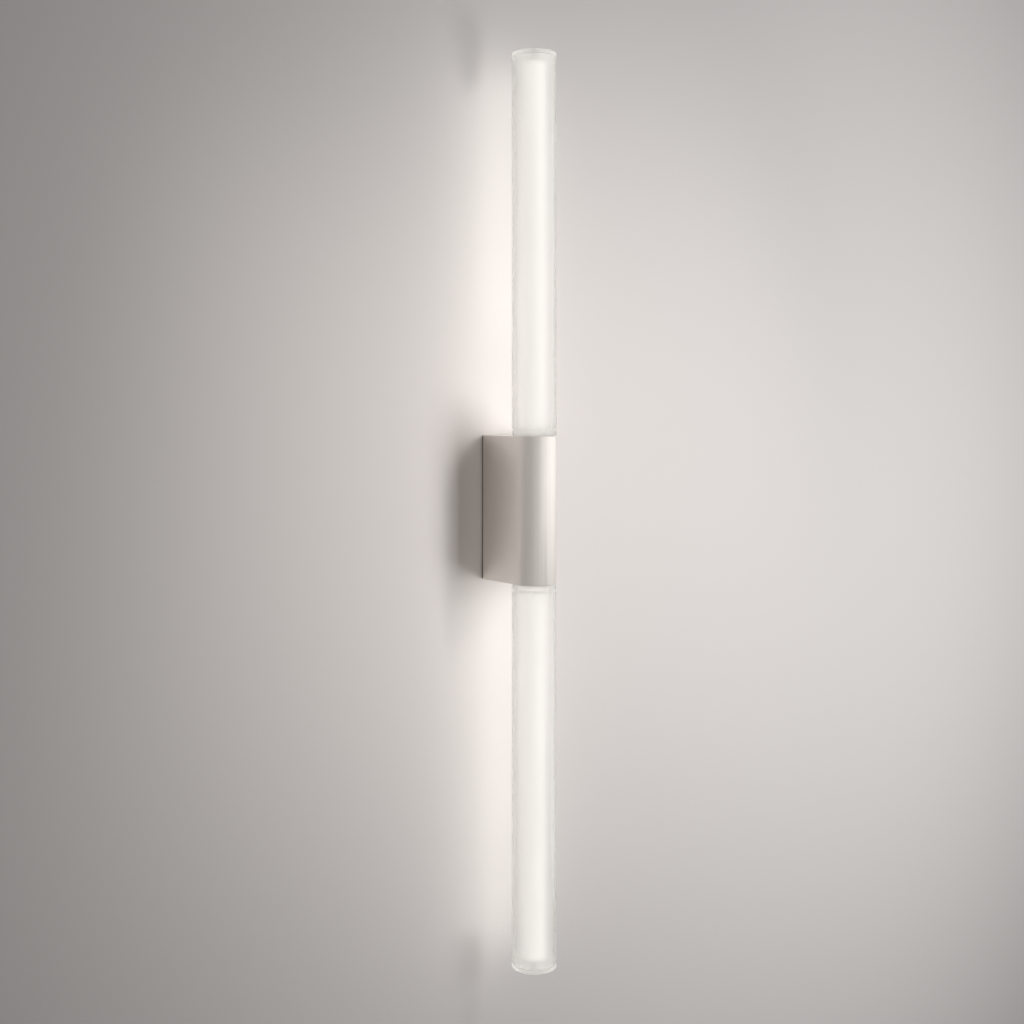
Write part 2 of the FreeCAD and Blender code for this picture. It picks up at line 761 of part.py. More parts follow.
def make_light_leads(side):
    """Two leads of one polarity, from the top of the driver to the strips above and below."""
    leads = []
    output_depth = tray_depth - driver_depth / 4
    window = (window_foot + window_top) / 2
    solder_z = strip_foot + solder_pad / 2
    solder_x = strip_seat + strip_board
    for start_x, up in ((upper_lead_start, 1), (lower_lead_start, -1)):
        x = side * start_x
        turn = tray_front + light_lead_depth - up * 2 * light_lead_radius
        points = [at(x, output_depth, driver_top), at(x, output_depth, window), at(x, turn, window)]
        if up < 0:
            points += [at(x, turn, -window)]
        points += [at(side * lead_offset, axis_depth, up * window),
                   at(side * lead_offset, axis_depth, up * solder_z),
                   at(side * solder_x, axis_depth, up * solder_z)]
        leads.append(lead(points, light_lead_radius))
    return Part.makeCompound(leads)


upper = {
    "end_plate": make_end_plate(),
    "tube_socket": make_tube_socket(),
    "led_strips": make_led_strips(),
    "diffuser": make_diffuser(),
    "core_plug": make_core_plug(),
    "tube": make_tube(),
    "end_cap": make_end_cap(),
}
parts = {
    "wall_plate": make_wall_plate(),
    "cable_grommet": make_cable_grommet(),
    "cover": make_cover(),
    "wall_gasket": make_wall_gasket(),
    "locking_screws": make_locking_screws(),
    "end_plate_screws": make_end_plate_screws(),
    "socket_screws": make_socket_screws(),
    "socket_seals": make_socket_seals(),
    "tube_seals": make_tube_seals(),
    "end_cap_screws": make_end_cap_screws(),
    "led_spine": make_led_spine(),
    "spine_screws": make_spine_screws(),
    "gear_tray": make_gear_tray(),
    "tray_screws": make_tray_screws(),
    "driver": make_driver(),
    "driver_screws": make_driver_screws(),
    "terminal_block": make_terminal_block(),
    "terminal_screws": make_terminal_screws(),
    "live_lead": make_mains_lead(pole_places()[0]),
    "neutral_lead": make_mains_lead(pole_places()[1]),
    "earth_lead": make_earth_lead(),
    "earth_tag": make_earth_tag(),
    "earth_screw": make_earth_screw(),
    "positive_light_leads": make_light_leads(1),
    "negative_light_leads": make_light_leads(-1),
}
for name, shape in upper.items():
    parts["upper_" + name] = shape
    parts["lower_" + name] = mirrored(shape)

os.makedirs("parts", exist_ok=True)
for name, shape in sorted(parts.items()):
    shape.exportStep(os.path.join("parts", name + ".step"))
    solids = shape.Solids
    valid = all(solid.isValid() and solid.Volume > 0 for solid in solids)
    print(f"{name}: {len(solids)} solid(s), {shape.Volume:.1f} mm3, {'valid' if valid else 'NOT VALID'}")
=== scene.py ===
import math

import bmesh
import bpy
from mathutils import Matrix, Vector


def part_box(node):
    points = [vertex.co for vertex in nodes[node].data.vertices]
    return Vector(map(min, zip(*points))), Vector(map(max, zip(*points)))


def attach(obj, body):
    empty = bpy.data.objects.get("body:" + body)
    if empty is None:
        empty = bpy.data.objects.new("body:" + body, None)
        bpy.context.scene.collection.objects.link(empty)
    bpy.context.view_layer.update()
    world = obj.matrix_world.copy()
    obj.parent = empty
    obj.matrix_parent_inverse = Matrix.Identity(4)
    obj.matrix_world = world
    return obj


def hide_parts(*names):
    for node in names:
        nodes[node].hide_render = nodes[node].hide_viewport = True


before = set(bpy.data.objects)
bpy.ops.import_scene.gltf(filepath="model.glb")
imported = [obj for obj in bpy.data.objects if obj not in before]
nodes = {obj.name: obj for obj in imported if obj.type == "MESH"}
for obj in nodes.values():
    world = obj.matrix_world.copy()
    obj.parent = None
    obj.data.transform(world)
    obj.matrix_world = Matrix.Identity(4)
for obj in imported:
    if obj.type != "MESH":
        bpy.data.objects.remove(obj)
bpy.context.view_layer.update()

# The wall plate: 2 mm sheet steel, pressed and bent in one stroke and zinc plated afterwards, with
# a faint spangle and light rubbing marks. Two wall screws hold it through its slots.


def start_material(name, colour=(0.8, 0.8, 0.8), metallic=0.0, roughness=0.5):
    """A new material with its main shader, ready for the nodes that give it its surface."""
    material = bpy.data.materials.new(name)
    material.use_nodes = True
    shader = material.node_tree.nodes["Principled BSDF"]
    shader.inputs["Base Color"].default_value = (*colour, 1)
    shader.inputs["Metallic"].default_value = metallic
    shader.inputs["Roughness"].default_value = roughness
    return material, material.node_tree, shader


def grain(tree, size, stretch=(1, 1, 1), detail=3.0):
    """A noise with marks of about the size, in metres, drawn out along the stretched axes."""
    place = tree.nodes.new("ShaderNodeTexCoord")
    mapping = tree.nodes.new("ShaderNodeMapping")
    mapping.inputs["Scale"].default_value = [1 / (size * s) for s in stretch]
    noise = tree.nodes.new("ShaderNodeTexNoise")
    noise.inputs["Scale"].default_value = 1
    noise.inputs["Detail"].default_value = detail
    tree.links.new(place.outputs["Object"], mapping.inputs["Vector"])
    tree.links.new(mapping.outputs["Vector"], noise.inputs["Vector"])
    return noise.outputs["Fac"]


def between(tree, factor, low, high, spread=(0.3, 0.7)):
    """A value that follows a noise from low to high."""
    remap = tree.nodes.new("ShaderNodeMapRange")
    remap.inputs["From Min"].default_value, remap.inputs["From Max"].default_value = spread
    remap.inputs["To Min"].default_value = low
    remap.inputs["To Max"].default_value = high
    tree.links.new(factor, remap.inputs["Value"])
    return remap.outputs["Result"]


def tinted(tree, factor, dark, light, spread):
    """A colour that follows a noise from dark to light."""
    ramp = tree.nodes.new("ShaderNodeValToRGB")
    ramp.color_ramp.elements[0].position, ramp.color_ramp.elements[1].position = spread
    ramp.color_ramp.elements[0].color = (*dark, 1)
    ramp.color_ramp.elements[1].color = (*light, 1)
    tree.links.new(factor, ramp.inputs["Fac"])
    return ramp.outputs["Color"]


def mottled(tree, shader, noise, dark, light, spread=(0.35, 0.65)):
    """Lets the surface's colour follow a noise from dark to light."""
    tree.links.new(tinted(tree, noise, dark, light, spread), shader.inputs["Base Color"])


def worn(tree, shader, noise, low, high):
    """Lets the surface's roughness follow a noise from low to high."""
    tree.links.new(between(tree, noise, low, high), shader.inputs["Roughness"])


def relief(tree, under, height, depth, strength):
    """Raises the surface by a noise, by up to the depth in metres. It goes under a shader or a relief."""
    bump = tree.nodes.new("ShaderNodeBump")
    bump.inputs["Distance"].default_value = depth
    bump.inputs["Strength"].default_value = strength
    tree.links.new(height, bump.inputs["Height"])
    tree.links.new(bump.outputs["Normal"], under.inputs["Normal"])
    return bump


def finish(node, material):
    """Gives a node of the fixed frame its material."""
    nodes[node].data.materials.clear()
    nodes[node].data.materials.append(material)


same_place = 2e-6
flat_angle = math.radians(0.2)
sharp_angle = math.radians(40)


def softened(node, name, body, material, edge):
    """A copy of a node whose sharp edges are rounded by a small width. It stands for the node."""
    mesh = nodes[node].data.copy()
    mesh.materials.clear()
    mesh.materials.append(material)
    piece = bpy.data.objects.new(name, mesh)
    bpy.context.scene.collection.objects.link(piece)
    shape = bmesh.new()
    shape.from_mesh(mesh)
    bmesh.ops.remove_doubles(shape, verts=shape.verts, dist=same_place)
    bmesh.ops.dissolve_limit(shape, angle_limit=flat_angle, verts=shape.verts, edges=shape.edges)
    shape.to_mesh(mesh)
    shape.free()
    for face in mesh.polygons:
        face.use_smooth = True
    round_off = piece.modifiers.new("edges", "BEVEL")
    round_off.width = edge
    round_off.segments = 2
    round_off.limit_method = "ANGLE"
    round_off.angle_limit = sharp_angle
    round_off.harden_normals = True
    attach(piece, body)
    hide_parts(node)


zinc, tree, shader = start_material("zinc_plated_steel", metallic=1.0)
spangle = grain(tree, size=0.006, detail=1.0)
mottled(tree, shader, spangle, dark=(0.50, 0.51, 0.54), light=(0.66, 0.665, 0.67))
worn(tree, shader, grain(tree, size=0.0012), low=0.28, high=0.44)
relief(tree, shader, grain(tree, size=0.0004, stretch=(1, 1, 4)), depth=0.00002, strength=0.4)
softened("wall_plate", "pressed_wall_plate", "wall_mount", zinc, edge=0.0003)

# The cable grommet: a moulded black rubber ring pushed into the dish of the wall plate. It has a dull
# skin with a little bloom on it.

rubber, tree, shader = start_material("black_rubber", roughness=0.72)
bloom = grain(tree, size=0.004)
mottled(tree, shader, bloom, dark=(0.018, 0.018, 0.019), light=(0.045, 0.045, 0.046))
relief(tree, shader, grain(tree, size=0.0006), depth=0.00004, strength=0.5)
softened("cable_grommet", "rubber_grommet", "wall_mount", rubber, edge=0.0004)

# The cover: an aluminium extrusion, bead blasted and anodised a warm satin nickel grey. Its ends are
# sawn square and lightly broken. The end plates have the same finish.

satin, tree, shader = start_material("satin_anodised", metallic=1.0)
cloud = grain(tree, size=0.05, stretch=(1, 1, 3), detail=2.0)
mottled(tree, shader, cloud, dark=(0.86, 0.825, 0.79), light=(0.90, 0.865, 0.83))
worn(tree, shader, grain(tree, size=0.0035, stretch=(1, 1, 6)), low=0.49, high=0.55)
die_lines = relief(tree, shader, grain(tree, size=0.0006, stretch=(1, 1, 60)), depth=0.000006, strength=0.3)
relief(tree, die_lines, grain(tree, size=0.00035), depth=0.000012, strength=0.35)
softened("cover", "bracket_cover", "light", satin, edge=0.00025)
softened("upper_end_plate", "upper_bracket_plate", "light", satin, edge=0.00015)
softened("lower_end_plate", "lower_bracket_plate", "light", satin, edge=0.00015)

# The wall gasket: a strip of black closed-cell foam, punched as one frame and stuck to the bracket's
# rear edge. Its cut cells give it a coarse matt face.

foam, tree, shader = start_material("black_foam", roughness=0.95)
cells = grain(tree, size=0.0005, detail=1.0)
mottled(tree, shader, cells, dark=(0.018, 0.018, 0.019), light=(0.05, 0.05, 0.051))
relief(tree, shader, cells, depth=0.0002, strength=0.8)
finish("wall_gasket", foam)

# The screws: stainless steel with turned heads, pressed hexagon sockets and rolled threads. One node tree
# builds a screw from its sizes and sets it at every place of its kind, read from the fixed frame.

stainless, tree, shader = start_material("stainless_steel", metallic=1.0)
turning = grain(tree, size=0.0008, stretch=(1, 1, 0.3))
mottled(tree, shader, grain(tree, size=0.002), dark=(0.55, 0.54, 0.53), light=(0.64, 0.63, 0.62))
worn(tree, shader, turning, low=0.18, high=0.36)
relief(tree, shader, turning, depth=0.00001, strength=0.3)

facets = 32
thread_steps = 14
thread_crest = 0.32
key_ratio = 0.62
key_depth = 0.0011
key_floor = 0.0005
pan_head_depth = 0.0018
pan_head_taper = 0.0004
width_match = 0.02
thread_angle = math.radians(35)
m2 = {"shank": 0.0010, "pitch": 0.0004}
m3 = {"shank": 0.0015, "pitch": 0.0005}
m4 = {"shank": 0.0020, "pitch": 0.0007}


def add_node(tree, kind, settings=(), **values):
    """A node with some of its settings and inputs set. A value that is a socket is linked."""
    node = tree.nodes.new(kind)
    for name, setting in settings:
        setattr(node, name, setting)
    for name, value in values.items():
        socket = node.inputs[name.replace("_", " ")]
        if isinstance(value, bpy.types.NodeSocket):
            tree.links.new(value, socket)
        else:
            socket.default_value = value
    return node


def sum_of(tree, operation, first, second):
    """The result of a sum with two terms, each a socket or a number."""
    node = tree.nodes.new("ShaderNodeMath")
    node.operation = operation
    for value, socket in zip((first, second), node.inputs):
        if isinstance(value, bpy.types.NodeSocket):
            tree.links.new(value, socket)
        else:
            socket.default_value = value
    return node.outputs["Value"]


def raised(tree, geometry, height):
    """The geometry moved up by a height."""
    place = add_node(tree, "ShaderNodeCombineXYZ", Z=height)
    return add_node(tree, "GeometryNodeTransform", Geometry=geometry,
                    Translation=place.outputs["Vector"]).outputs["Geometry"]


def screw_tree():
    """A screw whose top lies at each point of a mesh, with its axis along the point's attribute "out"."""
    tree = bpy.data.node_groups.new("screw", "GeometryNodeTree")
    tree.interface.new_socket("Places", in_out="INPUT", socket_type="NodeSocketGeometry")
    for name in ("Length", "Shank Radius", "Head Depth", "Top Radius", "Seat Radius", "Pitch"):
        tree.interface.new_socket(name, in_out="INPUT", socket_type="NodeSocketFloat")
    tree.interface.new_socket("Steel", in_out="INPUT", socket_type="NodeSocketMaterial")
    tree.interface.new_socket("Screws", in_out="OUTPUT", socket_type="NodeSocketGeometry")
    given = tree.nodes.new("NodeGroupInput").outputs
    shank, pitch, head = given["Shank Radius"], given["Pitch"], given["Head Depth"]

    cone = add_node(tree, "GeometryNodeMeshCone", Vertices=facets, Radius_Top=given["Top Radius"],
                    Radius_Bottom=given["Seat Radius"], Depth=head)
    head_shape = raised(tree, cone.outputs["Mesh"], sum_of(tree, "MULTIPLY", head, -1.0))
    key = add_node(tree, "GeometryNodeMeshCylinder", Vertices=6,
                   Radius=sum_of(tree, "MULTIPLY", shank, key_ratio), Depth=2 * key_depth)
    cut_head = add_node(tree, "GeometryNodeMeshBoolean", [("operation", "DIFFERENCE")])
    tree.links.new(head_shape, cut_head.inputs["Mesh 1"])
    tree.links.new(key.outputs["Mesh"], cut_head.inputs["Mesh 2"])

    crest = sum_of(tree, "MULTIPLY", pitch, thread_crest)
    root = sum_of(tree, "SUBTRACT", shank, crest)
    run = sum_of(tree, "SUBTRACT", given["Length"], head)
    core = add_node(tree, "GeometryNodeMeshCylinder", Vertices=facets, Radius=root, Depth=run)
    middle = sum_of(tree, "MULTIPLY", sum_of(tree, "ADD", given["Length"], head), -0.5)
    threaded = sum_of(tree, "SUBTRACT", run, pitch)
    spiral = add_node(tree, "GeometryNodeCurveSpiral", Resolution=thread_steps,
                      Rotations=sum_of(tree, "DIVIDE", threaded, pitch), Start_Radius=root,
                      End_Radius=root, Height=threaded)
    upright = add_node(tree, "GeometryNodeSetCurveNormal", Curve=spiral.outputs["Curve"])
    upright.mode = "Z_UP"
    section = add_node(tree, "GeometryNodeCurvePrimitiveCircle", Resolution=4, Radius=crest)
    ridge = add_node(tree, "GeometryNodeCurveToMesh", Curve=upright.outputs["Curve"],
                     Profile_Curve=section.outputs["Curve"], Fill_Caps=True)
    foot = sum_of(tree, "SUBTRACT", sum_of(tree, "MULTIPLY", pitch, 0.5), given["Length"])

    joined = tree.nodes.new("GeometryNodeJoinGeometry")
    for part in (cut_head.outputs["Mesh"], raised(tree, core.outputs["Mesh"], middle),
                 raised(tree, ridge.outputs["Mesh"], foot)):
        tree.links.new(part, joined.inputs["Geometry"])
    out = add_node(tree, "GeometryNodeInputNamedAttribute", [("data_type", "FLOAT_VECTOR")], Name="out")
    turn = add_node(tree, "FunctionNodeAlignRotationToVector", [("axis", "Z")], Vector=out.outputs[0])
    placed = add_node(tree, "GeometryNodeInstanceOnPoints", Points=given["Places"],
                      Instance=joined.outputs["Geometry"], Rotation=turn.outputs["Rotation"])
    real = add_node(tree, "GeometryNodeRealizeInstances", Geometry=placed.outputs["Instances"])
    painted = add_node(tree, "GeometryNodeSetMaterial", Geometry=real.outputs["Geometry"],
                       Material=given["Steel"])
    tree.links.new(painted.outputs["Geometry"], tree.nodes.new("NodeGroupOutput").inputs["Screws"])
    return tree


def loose_pieces(node):
    """The lowest and highest corner of each separate piece of a node."""
    shape = bmesh.new()
    shape.from_mesh(nodes[node].data)
    bmesh.ops.remove_doubles(shape, verts=shape.verts, dist=same_place)
    waiting = set(shape.verts)
    boxes = []
    while waiting:
        found = [waiting.pop()]
        for vertex in found:
            for edge in vertex.link_edges:
                other = edge.other_vert(vertex)
                if other in waiting:
                    waiting.remove(other)
                    found.append(other)
        places = [vertex.co for vertex in found]
        boxes.append((Vector([min(place[i] for place in places) for i in range(3)]),
                      Vector([max(place[i] for place in places) for i in range(3)])))
    shape.free()
    return sorted(boxes, key=lambda box: tuple(box[0]))


def head_sizes(form, shank, widest):
    """The depth of a head of a form, and its radii at the top and at the seat."""
    if form == "countersunk":
        return widest - shank, widest, shank
    if form == "pan":
        return pan_head_depth, widest - pan_head_taper, widest
    return key_depth + key_floor, shank, shank


screw_nodes = screw_tree()


def screws(name, node, form, widest, shank, pitch, outward=1):
    """Screws of one size, at the places of a node's pieces whose radius is the widest. Those along Z
    face outward from the middle of the light, or inward, and the others face the wall."""
    boxes = [(low, high) for low, high in loose_pieces(node)
             if any(abs(span / 2 - widest) < width_match * widest for span in sorted(high - low)[:2])]
    size = boxes[0][1] - boxes[0][0]
    faces_wall = abs(size.x - size.z) < width_match * widest
    length = size.y if faces_wall else size.z
    places, directions = [], []
    for low, high in boxes:
        middle = (low + high) / 2
        direction = Vector((0, 0, outward * math.copysign(1, middle.z)))
        if faces_wall:
            direction = Vector((0, 1, 0))
        places.append(middle + direction * length / 2)
        directions.append(direction)
    points = bpy.data.meshes.new(name)
    points.from_pydata(places, [], [])
    facing = points.attributes.new("out", "FLOAT_VECTOR", "POINT")
    for item, direction in zip(facing.data, directions):
        item.vector = direction
    holder = bpy.data.objects.new(name, points)
    bpy.context.scene.collection.objects.link(holder)
    modifier = holder.modifiers.new("screws", "NODES")
    modifier.node_group = screw_nodes
    depth, top, seat = head_sizes(form, shank, widest)
    sizes = {"Length": length, "Shank Radius": shank, "Head Depth": depth, "Top Radius": top,
             "Seat Radius": seat, "Pitch": pitch, "Steel": stainless}
    for socket in screw_nodes.interface.items_tree:
        if socket.name in sizes:
            modifier[socket.identifier] = sizes[socket.name]
    ready = holder.evaluated_get(bpy.context.evaluated_depsgraph_get())
    mesh = bpy.data.meshes.new_from_object(ready)
    bpy.data.objects.remove(holder)
    mesh.name = name
    for face in mesh.polygons:
        face.use_smooth = True
    mesh.set_sharp_from_angle(angle=thread_angle)
    piece = bpy.data.objects.new(name, mesh)
    bpy.context.scene.collection.objects.link(piece)
    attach(piece, "light")
    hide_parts(node)


screws("end_plate_fixings", "end_plate_screws", "countersunk", widest=0.0028, **m3)
screws("locking_set_screws", "locking_screws", "set", widest=0.0020, **m4)
screws("socket_fixings", "socket_screws", "pan", widest=0.0028, **m3, outward=-1)
screws("spine_set_screws", "spine_screws", "set", widest=0.0015, **m3)
screws("end_cap_fixings", "end_cap_screws", "countersunk", widest=0.0040, **m4)
screws("tray_fixings", "tray_screws", "pan", widest=0.0028, **m3, outward=-1)
screws("driver_fixings", "driver_screws", "pan", widest=0.0028, **m3)
screws("terminal_fixings", "terminal_screws", "pan", widest=0.0023, **m2)
screws("terminal_clamps", "terminal_screws", "set", widest=0.0015, **m3)
screws("earth_fixing", "earth_screw", "pan", widest=0.0028, **m3)

# The gear tray: a strip of 1.2 mm zinc plated steel with its ends bent forward, screwed to both end
# plates. It carries the driver and the terminal block.

softened("gear_tray", "bent_gear_tray", "light", zinc, edge=0.0002)

# The driver: a sealed case moulded in pale grey polycarbonate with a fine spark-eroded skin. Its two
# ears are screwed to the gear tray.

moulded, tree, shader = start_material("pale_moulding", roughness=0.5)
mottled(tree, shader, grain(tree, size=0.02), dark=(0.78, 0.78, 0.77), light=(0.84, 0.84, 0.83))
relief(tree, shader, grain(tree, size=0.0003), depth=0.00003, strength=0.5)
softened("driver", "driver_case", "light", moulded, edge=0.0005)

# The terminal block: moulded in natural nylon, slightly translucent and cream coloured. Two screws
# hold it on the gear tray.

nylon, tree, shader = start_material("natural_nylon", roughness=0.42)
shader.inputs["Subsurface Weight"].default_value = 0.25
shader.inputs["Subsurface Radius"].default_value = (0.002, 0.0018, 0.0012)
mottled(tree, shader, grain(tree, size=0.01), dark=(0.75, 0.72, 0.63), light=(0.81, 0.78, 0.71))
softened("terminal_block", "nylon_terminal_block", "light", nylon, edge=0.0003)

# The wires: stranded copper in coloured insulation, extruded with a soft gloss. The mains leads run from
# the terminal block to the driver and to the earth tag, and the thin ones from the driver to the light
# strips.

shade = 0.82


def insulation(name, colour):
    """Coloured insulation, a little uneven as extruded."""
    material, tree, shader = start_material(name, roughness=0.38)
    darker = [c * shade for c in colour]
    mottled(tree, shader, grain(tree, size=0.003), dark=darker, light=colour)
    relief(tree, shader, grain(tree, size=0.0008), depth=0.00003, strength=0.4)
    return material


finish("live_lead", insulation("brown_insulation", (0.17, 0.07, 0.035)))
finish("neutral_lead", insulation("blue_insulation", (0.03, 0.14, 0.48)))
finish("positive_light_leads", insulation("red_insulation", (0.50, 0.03, 0.025)))
finish("negative_light_leads", insulation("black_insulation", (0.02, 0.02, 0.021)))

striped, tree, shader = start_material("green_and_yellow_insulation", roughness=0.38)
place = tree.nodes.new("ShaderNodeTexCoord")
stripe = tree.nodes.new("ShaderNodeTexWave")
stripe.wave_type = "BANDS"
stripe.bands_direction = "DIAGONAL"
stripe.inputs["Scale"].default_value = 90
tree.links.new(place.outputs["Object"], stripe.inputs["Vector"])
mottled(tree, shader, stripe.outputs["Fac"], dark=(0.08, 0.36, 0.05), light=(0.75, 0.62, 0.03),
        spread=(0.62, 0.66))
relief(tree, shader, grain(tree, size=0.0008), depth=0.00003, strength=0.4)
finish("earth_lead", striped)

# The earth tag: a ring stamped from tinned brass, crimped to the earth lead and clamped to the tray
# under its own screw.

tinned, tree, shader = start_material("tinned_brass", metallic=1.0)
mottled(tree, shader, grain(tree, size=0.003), dark=(0.62, 0.60, 0.55), light=(0.74, 0.73, 0.70))
worn(tree, shader, grain(tree, size=0.001), low=0.22, high=0.42)
finish("earth_tag", tinned)

# The spine: a square aluminium extrusion through the whole light, left as it comes from the press, with
# fine lines from the die. The screws in the end caps pull on it.

mill, tree, shader = start_material("mill_aluminium", (0.74, 0.74, 0.74), metallic=1.0)
die_lines = grain(tree, size=0.0004, stretch=(1, 1, 200))
worn(tree, shader, die_lines, low=0.30, high=0.46)
relief(tree, shader, die_lines, depth=0.00002, strength=0.4)
finish("led_spine", mill)

# The light strips: a narrow printed board with an unbroken line of phosphor in silicone, which is
# what gives the light.

phosphor, tree, shader = start_material("phosphor_line", roughness=0.5)
shader.inputs["Emission Color"].default_value = (1.0, 0.93, 0.82, 1)
shader.inputs["Emission Strength"].default_value = 1.0
mottled(tree, shader, grain(tree, size=0.0006), dark=(0.86, 0.74, 0.38), light=(0.95, 0.88, 0.60))
finish("upper_led_strips", phosphor)
finish("lower_led_strips", phosphor)

# The diffusers: extruded opal tubes, 20 mm thick, that stand on the sockets round the strips. They hide
# the strips and glow evenly.

opal, tree, shader = start_material("glowing_opal", (0.92, 0.91, 0.89), roughness=0.45)
shader.inputs["Emission Color"].default_value = (1.0, 0.972, 0.935, 1)
cloud = grain(tree, size=0.03, stretch=(1, 1, 4))
tree.links.new(between(tree, cloud, low=0.365, high=0.385), shader.inputs["Emission Strength"])
for node in ("upper_diffuser", "lower_diffuser"):
    finish(node, opal)

# The core plugs: white moulded parts, pushed into the far ends of the diffusers. They centre the spine
# there.

white, tree, shader = start_material("white_moulding", roughness=0.4)
mottled(tree, shader, grain(tree, size=0.008), dark=(0.86, 0.855, 0.84), light=(0.90, 0.895, 0.88))
relief(tree, shader, grain(tree, size=0.0004), depth=0.00002, strength=0.4)
for node in ("upper_core_plug", "lower_core_plug"):
    finish(node, white)

# The seals: soft translucent silicone rings, square ones round the sockets and flat ones at the ends
# of the glass. They sit against the lit glass, and its light on them is painted on as a faint glow.

silicone, tree, shader = start_material("clear_silicone", roughness=0.4)
shader.inputs["Transmission Weight"].default_value = 0.5
# Painted glow: a faint emission in place of the light that the lit glass throws on the seals.
shader.inputs["Emission Color"].default_value = (1.0, 0.975, 0.945, 1)
shader.inputs["Emission Strength"].default_value = 0.24
mottled(tree, shader, grain(tree, size=0.004), dark=(0.58, 0.57, 0.55), light=(0.66, 0.65, 0.63))
for node in ("socket_seals", "tube_seals"):
    finish(node, silicone)

# The glass tubes: clear drawn glass, 42 mm thick with a 2 mm wall. The bore is etched satin, so the
# glow of the core spreads over the whole width, and the outside is fire polished. The bore also has a
# painted glow, a faint emission that stands in for the core's light scattered in it.

bore_radius = 0.0192
bore_roughness = 0.59
outer_roughness = 0.01
painted_bore_glow = 0.13
unevenness = 0.02


def let_lamps_through(material, colour):
    """Clear material that light from the lamps passes through, tinted a little at each face."""
    tree = material.node_tree
    path = tree.nodes.new("ShaderNodeLightPath")
    clear = tree.nodes.new("ShaderNodeBsdfTransparent")
    clear.inputs["Color"].default_value = (*colour, 1)
    mix = tree.nodes.new("ShaderNodeMixShader")
    tree.links.new(path.outputs["Is Shadow Ray"], mix.inputs["Fac"])
    tree.links.new(tree.nodes["Principled BSDF"].outputs["BSDF"], mix.inputs[1])
    tree.links.new(clear.outputs["BSDF"], mix.inputs[2])
    tree.links.new(mix.outputs["Shader"], tree.nodes["Material Output"].inputs["Surface"])


axis_y = (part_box("upper_tube")[0].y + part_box("upper_tube")[1].y) / 2

glass, tree, shader = start_material("glass_with_satin_bore", (0.93, 0.925, 0.915))
shader.inputs["Transmission Weight"].default_value = 1.0
shader.inputs["IOR"].default_value = 1.47
shader.inputs["Emission Color"].default_value = (1.0, 0.975, 0.945, 1)
place = tree.nodes.new("ShaderNodeTexCoord")
centred = tree.nodes.new("ShaderNodeMapping")
centred.inputs["Location"].default_value = (0, -axis_y, 0)
centred.inputs["Scale"].default_value = (1, 1, 0)
away = tree.nodes.new("ShaderNodeVectorMath")
away.operation = "LENGTH"
outside = tree.nodes.new("ShaderNodeMath")
outside.operation = "GREATER_THAN"
outside.inputs[1].default_value = bore_radius
tree.links.new(place.outputs["Object"], centred.inputs["Vector"])
tree.links.new(centred.outputs["Vector"], away.inputs[0])
tree.links.new(away.outputs["Value"], outside.inputs[0])
etched = tree.nodes.new("ShaderNodeMath")
etched.operation = "MULTIPLY_ADD"
etched.inputs[1].default_value = unevenness
tree.links.new(grain(tree, size=0.004), etched.inputs[0])
tree.links.new(between(tree, outside.outputs["Value"], bore_roughness, outer_roughness, (0, 1)),
               etched.inputs[2])
tree.links.new(etched.outputs["Value"], shader.inputs["Roughness"])
# Painted glow: the satin bore emits faintly in place of the core's light scattered in it; the outside does
# not.
tree.links.new(between(tree, outside.outputs["Value"], painted_bore_glow, 0, (0, 1)),
               shader.inputs["Emission Strength"])
let_lamps_through(glass, (0.92, 0.915, 0.90))
for node in ("upper_tube", "lower_tube"):
    finish(node, glass)

# The end caps and the sockets: clear acrylic, turned and left satin. The lit core's light shows through
# them and is also painted on them as a faint glow. The caps plug into the far ends of the glass and the
# sockets stand in its feet.

acrylic, tree, shader = start_material("satin_acrylic", (0.97, 0.965, 0.95))
shader.inputs["Transmission Weight"].default_value = 1.0
shader.inputs["IOR"].default_value = 1.49
worn(tree, shader, grain(tree, size=0.003), low=0.36, high=0.44)
# Painted glow: a faint emission in place of the core's light inside the acrylic.
shader.inputs["Emission Color"].default_value = (1.0, 0.975, 0.945, 1)
cloud = grain(tree, size=0.003)
tree.links.new(between(tree, cloud, low=0.09, high=0.11), shader.inputs["Emission Strength"])
let_lamps_through(acrylic, (0.97, 0.97, 0.965))
for node in ("upper_end_cap", "lower_end_cap", "upper_tube_socket", "lower_tube_socket"):
    finish(node, acrylic)

# The wall and the floor it stands on: pale paint on plaster. The wall is open behind the wall plate, so
# that light reaches its back, and from behind it can be seen through. The floor throws no light on it.

wall_width = 5.0
wall_top = 1.6
floor_level = -1.3
floor_front = -4.0
opening_half_width = 0.016
opening_half_height = 0.060


def one_sided(name, colour):
    """Pale paint that shows only from its front."""
    material, tree, shader = start_material(name, colour, roughness=0.85)
    relief(tree, shader, grain(tree, size=0.004), depth=0.0001, strength=0.2)
    side = tree.nodes.new("ShaderNodeNewGeometry")
    clear = tree.nodes.new("ShaderNodeBsdfTransparent")
    mix = tree.nodes.new("ShaderNodeMixShader")
    tree.links.new(side.outputs["Backfacing"], mix.inputs["Fac"])
    tree.links.new(shader.outputs["BSDF"], mix.inputs[1])
    tree.links.new(clear.outputs["BSDF"], mix.inputs[2])
    tree.links.new(mix.outputs["Shader"], tree.nodes["Material Output"].inputs["Surface"])
    return material


def flat_piece(name, corners, faces, material):
    """A flat stage piece from its corners."""
    mesh = bpy.data.meshes.new(name)
    mesh.from_pydata(corners, [], faces)
    mesh.materials.append(material)
    piece = bpy.data.objects.new(name, mesh)
    bpy.context.scene.collection.objects.link(piece)
    return piece


def upright_corners(side, bottom, top):
    """The corners of a rectangle on the wall."""
    return [(-side, 0, bottom), (side, 0, bottom), (side, 0, top), (-side, 0, top)]


